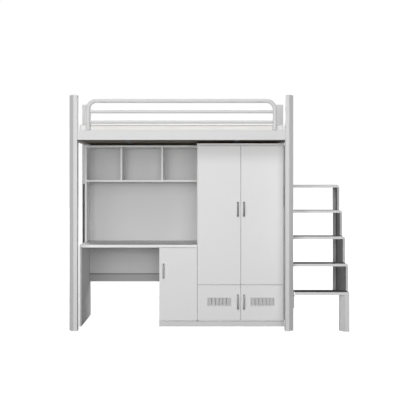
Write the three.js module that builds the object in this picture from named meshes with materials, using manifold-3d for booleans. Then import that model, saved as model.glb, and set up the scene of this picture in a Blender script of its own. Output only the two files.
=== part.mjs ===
// Loft bed with a desk, a hutch, a wardrobe and side stairs below and beside it.
// Millimetres, +Z up, front of the bed towards -Y. The model is laid out from the outer left
// face of the front left post at floor level, and then centred on its own footprint.
import * as THREE from 'three';
import { mergeVertices } from 'three/addons/utils/BufferGeometryUtils.js';
import Module from 'manifold-3d';

const wasm = await Module();
wasm.setup();

// ---------- driving dimensions ----------

const gap = 0.3;
const roundSides = 16;
const overlap = 1;
const weldTolerance = 1e-4;

// Bed frame.
const bedLength = 2000;
const bedWidth = 900;
const postHeight = 2100;
const postSize = 75;
const postChamfer = 40;
const steelWall = 1.5;
const railHeight = 87;
const railThickness = 30;
const railSetback = 10;
const railTopDrop = 313;
const endRailInset = 22;
const ledgeReach = 12;
const ledgeThickness = 3;
const crossbarCount = 2;
const crossbarWidth = 40;
const crossbarThickness = 3;
const boardThickness = 18;
const boardTopDrop = 65;
const boardClearance = 5;
const mattressThickness = 123;
const mattressInset = 2;
const mattressCorner = 40;
const mattressEdge = 12;
const mattressEdgeSteps = 3;
const mattressCornerSteps = 6;

// Guardrail.
const guardInset = 168;
const guardHeight = 262;
const guardRadius = 19;
const guardBend = 75;
const guardBendSteps = 6;
const guardCurveSegments = 10;
const guardBarRadius = 15;
const guardBarHeights = [74, 166];

// Cabinets.
const cabinetSideInset = 60;
const cabinetFront = 235;
const cabinetRearInset = 80;
const cabinetTopDrop = 18;
const panel = 18;
const thinBack = 5;
const wardrobeWidth = 799;
const pedestalWidth = 348;
const deskHeight = 750;
const deskTopThickness = 25;
const deskBackHeight = 304;
const deskRailHeight = 75;
const deskRailGap = 2;
const hutchDepth = 235;
const cubbyHeight = 315;
const sideCubbyWidth = 326;
const shelfLine = 382;
const hangingRailDrop = 84;
const hangingRailRadius = 12.5;
const plinthHeight = 45;
const plinthStep = 37;
const plinthRearSetback = 20;
const plinthFrontRail = 20;

// Doors.
const doorThickness = 18;
const doorBackGap = 2;
const doorGap = 3;
const doorReveal = 4;
const doorFootGap = 12;
const doorTopGap = 2;
const meetingOffset = 402;
const pivotInset = 5;
const pivotRadius = 2.2;
const pivotSeat = 10;
const hingeTurnSteps = 4;
const stripThickness = 2;
const stripTongue = 20;
const stripSetback = 1;
const pedestalDoorInset = 1;

// Handles.
const handleLength = 122;
const handleStandoff = 26;
const handleRadius = 7;
const handleBend = 11;
const handleBendSteps = 3;
const handleCurveSegments = 6;
const handleFootRadius = 9;
const handleFootThickness = 3;
const handleEdge = 28;
const pedestalHandleEdge = 40;
const upperHandleHeight = 1077;
const lowerHandleHeight = 226;
const pedestalHandleHeight = 510;

// Ventilation grilles of the lower doors.
const ventWidth = 222;
const ventHeight = 82;
const ventLip = 4;
const ventLipThickness = 1.5;
const ventDepth = 10;
const ventCentreHeight = 227;
const ventSlots = 18;
const ventSlotShare = 0.5;
const ventOffset = 199;

// Stairs.
const stairWidth = 508;
const stairStandoff = 1;
const stringerThickness = 4;
const stepCount = 5;
const firstRise = 348;
const rise = 238;
const run = 147.3;
const firstStepFront = -21;
const treadDepth = 155;
const treadSheet = 2;
const treadLip = 24;
const treadRearLip = 20;
const treadBend = 18;
const sideSheet = 2;
const sideFlange = 20;
const sideRearFlange = 33;
const sideBottom = 250;
const stringerLap = 49;
const stringerDrop = 148;
const stringerBand = 203;

// ---------- places worked out from them ----------

const railTop = postHeight - railTopDrop;
const railBottom = railTop - railHeight;
const boardTop = railTop - boardTopDrop;
const boardBottom = boardTop - boardThickness;
const frontRailBack = railSetback + railThickness;
const guardY = railSetback + railThickness / 2;

const cabinetLeft = cabinetSideInset;
const cabinetRight = bedLength - cabinetSideInset;
const cabinetBack = bedWidth - cabinetRearInset;
const cabinetTop = railBottom - cabinetTopDrop;
const carcassFront = cabinetFront + doorThickness + doorBackGap;
const wardrobeLeft = cabinetRight - wardrobeWidth;
const pedestalLeft = wardrobeLeft - pedestalWidth;
const underTop = cabinetTop - panel;
const underDesk = deskHeight - deskTopThickness;
const bottomTop = plinthStep + panel;
const hutchFront = cabinetBack - hutchDepth;
const hutchShelfTop = underTop - cubbyHeight;
const doorFoot = plinthHeight + doorFootGap;
const meetingLine = wardrobeLeft + meetingOffset;
const pivotY = cabinetFront + pivotInset;
const leftDoorEdge = wardrobeLeft + doorReveal;
const rightDoorEdge = cabinetRight - doorReveal;
const pedestalDoorEdge = leftDoorEdge - doorGap;

const stringerFace = bedLength + stairStandoff;
const treadLeft = stringerFace + stringerThickness;
const stairRight = bedLength + stairWidth;

const depthOverall = bedWidth - firstStepFront;
const centreX = stairRight / 2;
const centreY = firstStepFront + depthOverall / 2;

// ---------- materials ----------

const steelWhite = new THREE.MeshStandardMaterial({ color: 0xdcdcda, roughness: 0.42, metalness: 0.1 });
const steelGrey = new THREE.MeshStandardMaterial({ color: 0xcfd1cf, roughness: 0.45, metalness: 0.3 });
const boardWhite = new THREE.MeshStandardMaterial({ color: 0xe2e2e0, roughness: 0.5, metalness: 0 });
const fabricCream = new THREE.MeshStandardMaterial({ color: 0xe4e4dd, roughness: 0.95, metalness: 0 });
const plywood = new THREE.MeshStandardMaterial({ color: 0xb9a383, roughness: 0.7, metalness: 0 });
const handleMetal = new THREE.MeshStandardMaterial({ color: 0x9a9c9b, roughness: 0.3, metalness: 0.9 });
const ventPlastic = new THREE.MeshStandardMaterial({ color: 0xb9bab8, roughness: 0.5, metalness: 0 });

// ---------- building blocks ----------

const group = new THREE.Group();
group.position.set(-centreX, -centreY, 0);

function add(name, geometry, material) {
  const mesh = new THREE.Mesh(geometry, material);
  mesh.name = name;
  group.add(mesh);
}

// A block between two corners.
function block([x0, x1], [y0, y1], [z0, z1]) {
  const geometry = new THREE.BoxGeometry(x1 - x0, y1 - y0, z1 - z0);
  return geometry.translate((x0 + x1) / 2, (y0 + y1) / 2, (z0 + z1) / 2);
}

// A closed outline, always counter-clockwise.
function outline(points) {
  const corners = points.map(([a, b]) => new THREE.Vector2(a, b));
  return new THREE.Shape(THREE.ShapeUtils.isClockWise(corners) ? corners.reverse() : corners);
}

function rectangle([a0, a1], [b0, b1]) {
  return outline([[a0, b0], [a1, b0], [a1, b1], [a0, b1]]);
}

// A shape drawn out to a depth along Z.
function drawnOut(shape, depth) {
  const curveSegments = roundSides / 2;
  return new THREE.ExtrudeGeometry(shape, { depth, bevelEnabled: false, curveSegments });
}

// A shape drawn in Y and Z, drawn out along X.
function alongX(shape, [x0, x1]) {
  const turn = new THREE.Matrix4().set(0, 0, 1, x0, 1, 0, 0, 0, 0, 1, 0, 0, 0, 0, 0, 1);
  return drawnOut(shape, x1 - x0).applyMatrix4(turn);
}

// A shape drawn in X and Z, drawn out along Y.
function alongY(shape, [y0, y1]) {
  return drawnOut(shape, y1 - y0).rotateX(Math.PI / 2).translate(0, y1, 0);
}

// A shape drawn in X and Y, drawn out along Z.
function alongZ(shape, [z0, z1]) {
  return drawnOut(shape, z1 - z0).translate(0, 0, z0);
}

// A round section centred on the given point of its drawing plane.
function disc(radius, a = 0, b = 0) {
  return new THREE.Shape().absarc(a, b, radius, 0, 2 * Math.PI, false);
}

// The section of a round tube.
function ring(radius, wall, a = 0, b = 0) {
  const shape = disc(radius, a, b);
  shape.holes.push(new THREE.Path().absarc(a, b, radius - wall, 0, 2 * Math.PI, true));
  return shape;
}

// The centreline of a bent tube or bar: straight stretches with a few sections in each round bend.
class BentPath extends THREE.Curve {
  constructor(corners, radius, bendSteps) {
    super();
    this.points = [corners[0]];
    for (let i = 1; i < corners.length - 1; i += 1) {
      const into = corners[i].clone().sub(corners[i - 1]).normalize();
      const out = corners[i + 1].clone().sub(corners[i]).normalize();
      const start = corners[i].clone().addScaledVector(into, -radius);
      const centre = start.clone().addScaledVector(out, radius);
      for (let k = 0; k <= bendSteps; k += 1) {
        const angle = (Math.PI / 2) * (k / bendSteps);
        const point = centre.clone().addScaledVector(out, -radius * Math.cos(angle));
        this.points.push(point.addScaledVector(into, radius * Math.sin(angle)));
      }
    }
    this.points.push(corners[corners.length - 1]);
    this.steps = this.points.length - 1;
  }

  getPoint(t, target = new THREE.Vector3()) {
    return target.copy(this.points[Math.round(t * this.steps)]);
  }

  getPointAt(t, target) {
    return this.getPoint(t, target);
  }

  getTangentAt(t, target = new THREE.Vector3()) {
    const i = Math.round(t * this.steps);
    const here = this.points[i];
    const before = this.points[Math.max(i - 1, 0)];
    const after = this.points[Math.min(i + 1, this.steps)];
    const into = here.clone().sub(before).normalize();
    const out = after.clone().sub(here).normalize();
    return target.addVectors(into, out).normalize();
  }
}

function alongPath(shape, path, curveSegments) {
  return new THREE.ExtrudeGeometry(shape, { extrudePath: path, steps: path.steps, curveSegments });
}

// Booleans: a three.js geometry becomes a manifold solid, and back.
function solid(geometry) {
  const bare = geometry.clone();
  bare.deleteAttribute('normal');
  bare.deleteAttribute('uv');
  const merged = mergeVertices(bare, weldTolerance);
  const mesh = new wasm.Mesh({
    numProp: 3,
    vertProperties: Float32Array.from(merged.attributes.position.array),
    triVerts: Uint32Array.from(merged.index.array),
  });
  return new wasm.Manifold(mesh);
}

function geometryOf(manifold) {
  const mesh = manifold.getMesh();
  const geometry = new THREE.BufferGeometry();
  geometry.setAttribute('position', new THREE.BufferAttribute(Float32Array.from(mesh.vertProperties), 3));
  geometry.setIndex(new THREE.BufferAttribute(Uint32Array.from(mesh.triVerts), 1));
  geometry.computeVertexNormals();
  return geometry;
}

function join(...geometries) {
  const [first, ...rest] = geometries.map(solid);
  return geometryOf(rest.reduce((sum, piece) => sum.add(piece), first));
}

function cut(geometry, ...tools) {
  return geometryOf(tools.map(solid).reduce((sum, tool) => sum.subtract(tool), solid(geometry)));
}

// ---------- bed frame ----------

// The section of a square tube with one corner cut off. side and front, each -1 or 1, say which
// way the cut corner faces along X and along Y.
function postSection(x, y, side, front) {
  const far = postSize - steelWall;
  const cutInside = postChamfer + steelWall * (Math.SQRT2 - 1);
  const outer = [[postChamfer, 0], [postSize, 0], [postSize, postSize], [0, postSize], [0, postChamfer]];
  const inner = [
    [cutInside, steelWall],
    [far, steelWall],
    [far, far],
    [steelWall, far],
    [steelWall, cutInside],
  ];
  const place = ([a, b]) => [
    side < 0 ? x + a : x + postSize - a,
    front < 0 ? y + b : y + postSize - b,
  ];
  const section = outline(outer.map(place));
  section.holes.push(new THREE.Path(inner.map(place).map(([a, b]) => new THREE.Vector2(a, b))));
  return section;
}

function addPosts() {
  const right = bedLength - postSize;
  const rear = bedWidth - postSize;
  const height = [0, postHeight];
  add('post_front_left', alongZ(postSection(0, 0, -1, -1), height), steelWhite);
  add('post_front_right', alongZ(postSection(right, 0, 1, -1), height), steelWhite);
  add('post_rear_left', alongZ(postSection(0, rear, -1, 1), height), steelWhite);
  add('post_rear_right', alongZ(postSection(right, rear, 1, 1), height), steelWhite);
}

// A long rail: a box tube with a ledge on its inner side that the bed board lies on.
function railSection(outerY, inward) {
  const at = (a, z) => [outerY + inward * a, z];
  const ledgeTop = boardBottom - gap;
  const reach = railThickness + ledgeReach;
  const section = outline([
    at(0, railBottom),
    at(railThickness, railBottom),
    at(railThickness, ledgeTop - ledgeThickness),
    at(reach, ledgeTop - ledgeThickness),
    at(reach, ledgeTop),
    at(railThickness, ledgeTop),
    at(railThickness, railTop),
    at(0, railTop),
  ]);
  const far = railThickness - steelWall;
  const hole = [
    at(steelWall, railBottom + steelWall),
    at(far, railBottom + steelWall),
    at(far, railTop - steelWall),
    at(steelWall, railTop - steelWall),
  ];
  section.holes.push(new THREE.Path(hole.map(([a, b]) => new THREE.Vector2(a, b))));
  return section;
}

function addRails() {
  const span = [postSize + gap, bedLength - postSize - gap];
  add('side_rail_front', alongX(railSection(railSetback, 1), span), steelWhite);
  add('side_rail_rear', alongX(railSection(bedWidth - railSetback, -1), span), steelWhite);
  const depth = [postSize + gap, bedWidth - postSize - gap];
  const ends = { left: endRailInset, right: bedLength - endRailInset - railThickness };
  for (const [side, x] of Object.entries(ends)) {
    const section = rectangle([x, x + railThickness], [railBottom, railTop]);
    section.holes.push(rectangle(
      [x + steelWall, x + railThickness - steelWall],
      [railBottom + steelWall, railTop - steelWall],
    ));
    add(`end_rail_${side}`, alongY(section, depth), steelWhite);
  }
}

// Flat straps between the rails' ledges, and the bed board on top of both.
function addDeck() {
  const inner = frontRailBack + ledgeReach + gap;
  const top = boardBottom - gap;
  const spacing = bedLength / crossbarCount;
  for (let i = 0; i < crossbarCount; i += 1) {
    const x = spacing * (i + 0.5);
    const strap = block(
      [x - crossbarWidth / 2, x + crossbarWidth / 2],
      [inner, bedWidth - inner],
      [top - crossbarThickness, top],
    );
    add(`deck_crossbar_${i + 1}`, strap, steelWhite);
  }
  const x0 = postSize + boardClearance;
  const y0 = frontRailBack + gap;
  const board = block([x0, bedLength - x0], [y0, bedWidth - y0], [boardBottom, boardTop]);
  add('bed_board', board, plywood);
}

function addMattress() {
  const x0 = postSize + boardClearance + mattressInset + mattressEdge;
  const y0 = guardY + guardRadius + mattressInset + mattressEdge;
  const x1 = bedLength - x0;
  const y1 = bedWidth - y0;
  const r = mattressCorner - mattressEdge;
  const shape = new THREE.Shape();
  shape.absarc(x1 - r, y1 - r, r, 0, Math.PI / 2, false);
  shape.absarc(x0 + r, y1 - r, r, Math.PI / 2, Math.PI, false);
  shape.absarc(x0 + r, y0 + r, r, Math.PI, 1.5 * Math.PI, false);
  shape.absarc(x1 - r, y0 + r, r, 1.5 * Math.PI, 2 * Math.PI, false);
  const geometry = new THREE.ExtrudeGeometry(shape, {
    depth: mattressThickness - 2 * mattressEdge,
    bevelEnabled: true,
    bevelThickness: mattressEdge,
    bevelSize: mattressEdge,
    bevelSegments: mattressEdgeSteps,
    curveSegments: mattressCornerSteps,
  });
  geometry.translate(0, 0, boardTop + gap + mattressEdge);
  add('mattress', geometry, fabricCream);
}

// ---------- guardrail ----------

function addGuardrail() {
  const foot = railTop + gap;
  const top = railTop + guardHeight;
  const left = guardInset;
  const right = bedLength - guardInset;
  const path = new BentPath([
    new THREE.Vector3(left, guardY, foot),
    new THREE.Vector3(left, guardY, top),
    new THREE.Vector3(right, guardY, top),
    new THREE.Vector3(right, guardY, foot),
  ], guardBend, guardBendSteps);
  const tube = alongPath(ring(guardRadius, steelWall), path, guardCurveSegments);
  add('guardrail_hoop', tube, steelWhite);
  const clear = (guardRadius + gap) / Math.cos(Math.PI / roundSides);
  const legs = [left, right].map((x) => alongZ(disc(clear, x, guardY), [foot, top]));
  guardBarHeights.forEach((height, i) => {
    const section = ring(guardBarRadius, steelWall, guardY, railTop + height);
    const bar = cut(alongX(section, [left + guardBarRadius, right - guardBarRadius]), ...legs);
    add(`guardrail_bar_${i + 1}`, bar, steelWhite);
  });
}

// ---------- desk and hutch ----------

function addDesk() {
  const left = [cabinetLeft, cabinetLeft + panel];
  const depth = [cabinetFront, cabinetBack];
  const inside = [cabinetLeft + panel + gap, wardrobeLeft - gap];
  const knee = [inside[0], pedestalLeft - gap];
  const back = [cabinetBack - panel, cabinetBack];
  const backFoot = underDesk - deskBackHeight;
  const railHead = backFoot - deskRailGap;
  add('desk_side_panel', block(left, depth, [0, underDesk - gap]), boardWhite);
  const top = block([cabinetLeft, wardrobeLeft - gap], depth, [underDesk, deskHeight]);
  const seat = pivotHole(pedestalDoorEdge - pivotInset, [underDesk - gap, underDesk + pivotSeat + gap]);
  add('desk_top', cut(top, seat), boardWhite);
  add('desk_back_panel', block(knee, back, [backFoot, underDesk - gap]), boardWhite);
  add('desk_rear_rail', block(knee, back, [railHead - deskRailHeight, railHead]), boardWhite);
}

function addHutch() {
  const front = hutchFront;
  const back = cabinetBack - thinBack;
  const inside = [cabinetLeft + panel + gap, wardrobeLeft - gap];
  const side = [cabinetLeft, cabinetLeft + panel];
  const across = [cabinetLeft, wardrobeLeft - gap];
  const depth = [front, cabinetBack];
  const height = [deskHeight + gap, underTop - gap];
  add('hutch_side_panel', block(side, depth, height), boardWhite);
  add('hutch_top', block(across, depth, [underTop, cabinetTop]), boardWhite);
  add('hutch_back_panel', block(inside, [back, cabinetBack], height), boardWhite);
  const shelf = [hutchShelfTop - panel, hutchShelfTop];
  add('hutch_shelf', block(inside, [front, back - gap], shelf), boardWhite);
  const places = [cabinetLeft + panel + sideCubbyWidth, wardrobeLeft - sideCubbyWidth - panel];
  places.forEach((x, i) => {
    const upright = block([x, x + panel], [front, back - gap], [hutchShelfTop + gap, underTop - gap]);
    add(`hutch_divider_${i + 1}`, upright, boardWhite);
  });
}

// ---------- wardrobe and pedestal ----------

// The hole that a door's pivot rod turns or sits in.
function pivotHole(x, height) {
  return alongZ(disc(pivotRadius + gap, x, pivotY), height);
}

const leftPivot = leftDoorEdge + pivotInset;
const rightPivot = rightDoorEdge - pivotInset;
const pedestalPivot = pedestalDoorEdge - pivotInset;

function addPedestal() {
  const side = [pedestalLeft, pedestalLeft + panel];
  const depth = [carcassFront, cabinetBack];
  const inside = [pedestalLeft + panel + gap, wardrobeLeft - gap];
  const height = [bottomTop + gap, underDesk - gap];
  const across = [pedestalLeft, wardrobeLeft - gap];
  add('pedestal_side_panel', block(side, depth, height), boardWhite);
  add('pedestal_bottom', block(across, depth, [plinthStep, bottomTop]), boardWhite);
  add('pedestal_back', block(inside, [cabinetBack - thinBack, cabinetBack], height), boardWhite);
}

function addWardrobe() {
  const depth = [carcassFront, cabinetBack];
  const fullDepth = [cabinetFront, cabinetBack];
  const height = [bottomTop + gap, underTop - gap];
  const inside = [wardrobeLeft + panel + gap, cabinetRight - panel - gap];
  const back = cabinetBack - thinBack;
  add('wardrobe_side_left', block([wardrobeLeft, wardrobeLeft + panel], depth, height), boardWhite);
  add('wardrobe_side_right', block([cabinetRight - panel, cabinetRight], depth, height), boardWhite);
  const seat = [underTop - gap, underTop + pivotSeat + gap];
  const top = block([wardrobeLeft, cabinetRight], fullDepth, [underTop, cabinetTop]);
  add('wardrobe_top', cut(top, pivotHole(leftPivot, seat), pivotHole(rightPivot, seat)), boardWhite);
  add('wardrobe_bottom', block([wardrobeLeft, cabinetRight], depth, [plinthStep, bottomTop]), boardWhite);
  add('wardrobe_back', block(inside, [back, cabinetBack], height), boardWhite);
  addMiddleShelf(inside, back);
  const centre = (carcassFront + back) / 2;
  const rod = ring(hangingRailRadius, steelWall, centre, underTop - hangingRailDrop);
  add('hanging_rail', alongX(rod, inside), handleMetal);
}

// The shelf between the upper and lower doors, with a groove in its front edge for the steel strip
// that steadies the two long pivot rods.
function addMiddleShelf(inside, back) {
  const strip = [shelfLine - stripThickness / 2, shelfLine + stripThickness / 2];
  const groove = [strip[0] - gap, strip[1] + gap];
  const tongue = carcassFront + stripTongue;
  const low = shelfLine - panel / 2;
  const high = shelfLine + panel / 2;
  const section = outline([
    [carcassFront, low],
    [back - gap, low],
    [back - gap, high],
    [carcassFront, high],
    [carcassFront, groove[1]],
    [tongue + gap, groove[1]],
    [tongue + gap, groove[0]],
    [carcassFront, groove[0]],
  ]);
  add('wardrobe_middle_shelf', alongX(section, inside), boardWhite);
  const front = cabinetFront + stripSetback;
  const flat = outline([
    [leftDoorEdge, front],
    [rightDoorEdge, front],
    [rightDoorEdge, carcassFront - gap],
    [inside[1], carcassFront - gap],
    [inside[1], tongue],
    [inside[0], tongue],
    [inside[0], carcassFront - gap],
    [leftDoorEdge, carcassFront - gap],
  ]);
  const plate = alongZ(flat, strip);
  const holes = [leftPivot, rightPivot].map(
    (x) => pivotHole(x, [strip[0] - overlap, strip[1] + overlap]),
  );
  add('pivot_strip', cut(plate, ...holes), handleMetal);
}

// The base frame: four boards joined, with a step at the front that the bottoms stand on.
function addPlinth() {
  const back = cabinetBack - plinthRearSetback;
  const outer = block([pedestalLeft, cabinetRight], [cabinetFront, back], [0, plinthHeight]);
  const step = block(
    [pedestalLeft - overlap, cabinetRight + overlap],
    [cabinetFront + panel, cabinetBack],
    [plinthStep - gap, plinthHeight + overlap],
  );
  const inside = block(
    [pedestalLeft + panel, cabinetRight - panel],
    [carcassFront + plinthFrontRail, back - panel],
    [-overlap, plinthHeight],
  );
  const seats = [leftPivot, rightPivot, pedestalPivot].map(
    (x) => pivotHole(x, [plinthHeight - pivotSeat - gap, plinthHeight + gap]),
  );
  add('plinth', cut(outer, step, inside, ...seats), boardWhite);
}

// ---------- doors ----------

function addPivotRods() {
  const foot = plinthHeight - pivotSeat;
  const rod = (x, top) => alongZ(disc(pivotRadius, x, pivotY), [foot, top]);
  add('pivot_rod_left', rod(leftPivot, underTop + pivotSeat), handleMetal);
  add('pivot_rod_right', rod(rightPivot, underTop + pivotSeat), handleMetal);
  add('pivot_rod_pedestal', rod(pedestalPivot, underDesk + pivotSeat), handleMetal);
}

// A door leaf bored for its pivot rod, with the corner next to the rod rounded about it.
function doorLeaf(hinged, free, height) {
  const front = cabinetFront;
  const back = cabinetFront + doorThickness;
  const toward = Math.sign(free - hinged);
  const pivot = hinged + toward * pivotInset;
  const points = [[hinged, back], [hinged, pivotY]];
  for (let i = 1; i <= hingeTurnSteps; i += 1) {
    const angle = (Math.PI / 2) * (i / hingeTurnSteps);
    const across = pivotInset * Math.cos(angle);
    points.push([pivot - toward * across, pivotY - pivotInset * Math.sin(angle)]);
  }
  points.push([free, front], [free, back]);
  const section = outline(points);
  section.holes.push(disc(pivotRadius + gap, pivot, pivotY));
  return alongZ(section, height);
}

// A bow handle: an upright bent bar at x that stands on two round feet.
function handle(name, x, centre) {
  const face = cabinetFront - gap;
  const root = face - handleFootThickness / 2;
  const reach = face - handleStandoff;
  const half = handleLength / 2;
  const path = new BentPath([
    new THREE.Vector3(x, root, centre - half),
    new THREE.Vector3(x, reach, centre - half),
    new THREE.Vector3(x, reach, centre + half),
    new THREE.Vector3(x, root, centre + half),
  ], handleBend, handleBendSteps);
  const foot = (z) => alongY(disc(handleFootRadius, x, z), [face - handleFootThickness, face]);
  const bar = alongPath(disc(handleRadius), path, handleCurveSegments);
  add(name, join(bar, foot(centre - half), foot(centre + half)), handleMetal);
}

// A ventilation grille: a lipped frame with upright slots, let into its door.
function vent(name, x) {
  const pitch = (ventWidth - 4 * ventLip) / ventSlots;
  const slot = pitch * ventSlotShare;
  const half = ventHeight / 2;
  const front = cabinetFront - gap - ventLipThickness;
  const back = cabinetFront + ventDepth;
  const plate = (inset, depth) => block(
    [x - ventWidth / 2 + inset, x + ventWidth / 2 - inset],
    depth,
    [ventCentreHeight - half + inset, ventCentreHeight + half - inset],
  );
  const slots = [];
  for (let i = 0; i < ventSlots; i += 1) {
    const centre = x + (i + 0.5 - ventSlots / 2) * pitch;
    slots.push(block(
      [centre - slot / 2, centre + slot / 2],
      [front - overlap, back + overlap],
      [ventCentreHeight - half + 2 * ventLip, ventCentreHeight + half - 2 * ventLip],
    ));
  }
  const lipped = join(plate(0, [front, cabinetFront - gap]), plate(ventLip + gap, [front, back]));
  add(name, cut(lipped, ...slots), ventPlastic);
}

function ventOpening(x) {
  const half = ventHeight / 2 - ventLip;
  return block(
    [x - ventWidth / 2 + ventLip, x + ventWidth / 2 - ventLip],
    [cabinetFront - overlap, cabinetFront + doorThickness + overlap],
    [ventCentreHeight - half, ventCentreHeight + half],
  );
}

function addDoors() {
  const upper = [shelfLine + stripThickness, underTop - doorTopGap];
  const lower = [doorFoot, shelfLine - stripThickness];
  const sides = {
    left: { hinged: leftDoorEdge, free: meetingLine - doorGap / 2, toward: -1 },
    right: { hinged: rightDoorEdge, free: meetingLine + doorGap / 2, toward: 1 },
  };
  for (const [side, { hinged, free, toward }] of Object.entries(sides)) {
    const grip = meetingLine + toward * handleEdge;
    const ventX = meetingLine + toward * ventOffset;
    add(`door_upper_${side}`, doorLeaf(hinged, free, upper), boardWhite);
    handle(`handle_upper_${side}`, grip, upperHandleHeight);
    add(`door_lower_${side}`, cut(doorLeaf(hinged, free, lower), ventOpening(ventX)), boardWhite);
    handle(`handle_lower_${side}`, grip, lowerHandleHeight);
    vent(`vent_${side}`, ventX);
  }
  const height = [doorFoot, underDesk - doorGap];
  const leaf = doorLeaf(pedestalDoorEdge, pedestalLeft + pedestalDoorInset, height);
  add('pedestal_door', leaf, boardWhite);
  handle('pedestal_handle', pedestalLeft + pedestalHandleEdge, pedestalHandleHeight);
}

// ---------- stairs ----------

const stepFront = (k) => firstStepFront + k * run;
const stepTop = (k) => firstRise + k * rise;

// A folded steel tread: top sheet, front lip and rear lip. All but the first turn down at the
// right end in a round bend to meet the side panel.
function tread(k) {
  const front = stepFront(k);
  const top = stepTop(k);
  const isFirst = k === 0;
  const right = isFirst ? stairRight - sideFlange - gap : stairRight;
  const sheet = isFirst ? flatSheet(right, top) : bentSheet(right, top);
  const lip = [treadLeft + gap, isFirst ? right : right - sideFlange - gap];
  const rear = front + treadDepth;
  const pieces = [
    alongY(sheet, [front, rear]),
    block(lip, [front, front + treadSheet], [top - treadLip, top - treadSheet / 2]),
    block(lip, [rear - treadSheet, rear], [top - treadRearLip, top - treadSheet / 2]),
  ];
  if (isFirst) {
    return join(...pieces);
  }
  const folded = join(...pieces, lipCorner(right, top, front));
  return k === stepCount - 1 ? folded : cut(folded, nextStepNotch(k));
}

// Room at a tread's rear right corner for the side panel, which rises there to the next step.
function nextStepNotch(k) {
  return block(
    [stairRight - sideFlange - gap, stairRight + overlap],
    [stepFront(k + 1) - gap, stepFront(k) + treadDepth + overlap],
    [stepTop(k) - treadLip, stepTop(k) + overlap],
  );
}

function flatSheet(right, top) {
  return rectangle([treadLeft + gap, right], [top - treadSheet, top]);
}

function bentSheet(right, top) {
  const shape = new THREE.Shape();
  const x = right - treadBend;
  const z = top - treadBend;
  shape.moveTo(treadLeft + gap, top);
  shape.lineTo(treadLeft + gap, top - treadSheet);
  shape.lineTo(x, top - treadSheet);
  shape.absarc(x, z, treadBend - treadSheet, Math.PI / 2, 0, true);
  shape.lineTo(right, z);
  shape.absarc(x, z, treadBend, 0, Math.PI / 2, false);
  return shape;
}

// The rounded corner of a tread's front lip.
function lipCorner(right, top, front) {
  const x = right - treadBend;
  const z = top - treadBend;
  const start = right - sideFlange - overlap;
  const shape = new THREE.Shape();
  shape.moveTo(start, top - treadLip);
  shape.lineTo(right, top - treadLip);
  shape.lineTo(right, z);
  shape.absarc(x, z, treadBend, 0, Math.PI / 2, false);
  shape.lineTo(start, top);
  return alongY(shape, [front, front + treadSheet]);
}

function addStairLeg() {
  const x = stairRight - sideFlange - postSize;
  const section = postSection(x, firstStepFront, -1, -1);
  const top = stepTop(0) - treadSheet - gap;
  const lipSlot = block(
    [x - overlap, x + postSize + overlap],
    [firstStepFront - overlap, firstStepFront + treadSheet + gap],
    [stepTop(0) - treadLip - gap, top + overlap],
  );
  add('stair_leg', cut(alongZ(section, [0, top]), lipSlot), steelWhite);
}

// The closed right side of the stairs: a stepped sheet, a flange up each riser and one at the rear.
function addStairSidePanel() {
  const rear = stepFront(stepCount - 1) + treadDepth;
  const under = (k) => stepTop(k) - treadBend - gap;
  const profile = [[rear, sideBottom], [rear, under(stepCount - 1)]];
  const flanges = [];
  for (let k = stepCount - 1; k >= 1; k -= 1) {
    profile.push([stepFront(k), under(k)]);
    const foot = k === 1 ? sideBottom : under(k - 1);
    profile.push([stepFront(k), foot]);
    const flangeFoot = k === 1 ? sideBottom : stepTop(k - 1) + gap;
    flanges.push(block(
      [stairRight - sideFlange, stairRight],
      [stepFront(k), stepFront(k) + sideSheet],
      [flangeFoot, stepTop(k) - treadLip - gap],
    ));
  }
  const sheet = alongX(outline(profile.reverse()), [stairRight - sideSheet, stairRight]);
  const fronts = [];
  for (let k = 1; k < stepCount; k += 1) {
    const y = stepFront(k);
    fronts.push(block(
      [stairRight - sideSheet - overlap, stairRight + overlap],
      [y - overlap, y + sideSheet + gap],
      [stepTop(k) - treadLip - gap, stepTop(k)],
    ));
  }
  const notched = cut(sheet, ...fronts);
  const rearFlange = block(
    [stairRight - sideRearFlange, stairRight],
    [rear - sideSheet, rear],
    [sideBottom, stepTop(stepCount - 1) - treadRearLip - gap],
  );
  add('stair_side_panel', join(notched, ...flanges, rearFlange), steelGrey);
}

// The inner stringer: a stepped plate behind the right posts, lapped on both of them.
function addInnerStringer() {
  const front = postSize - stringerLap;
  const back = bedWidth - postSize + stringerLap;
  const last = stepCount - 1;
  const points = [[front, firstRise - stringerDrop], [front, stepTop(0)]];
  for (let k = 1; k <= last; k += 1) {
    points.push([stepFront(k), stepTop(k - 1)], [stepFront(k), stepTop(k)]);
  }
  const low = stepTop(last) - stringerBand;
  const turn = stepFront(1) + (low - firstRise + stringerDrop) * (run / rise);
  points.push([back, stepTop(last)], [back, low], [turn, low], [stepFront(1), firstRise - stringerDrop]);
  const plate = alongX(outline(points.reverse()), [stringerFace, stringerFace + stringerThickness]);
  add('stair_inner_stringer', plate, steelGrey);
}

function addStairs() {
  for (let k = 0; k < stepCount; k += 1) {
    add(`stair_tread_${k + 1}`, tread(k), steelGrey);
  }
  addStairLeg();
  addStairSidePanel();
  addInnerStringer();
}

addPosts();
addRails();
addDeck();
addMattress();
addGuardrail();
addDesk();
addHutch();
addPedestal();
addWardrobe();
addPlinth();
addPivotRods();
addDoors();
addStairs();

export default group;
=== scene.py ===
# Loft bed of white tube steel, with a desk, a hutch and a wardrobe under it and stairs at its side.
import math

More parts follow.
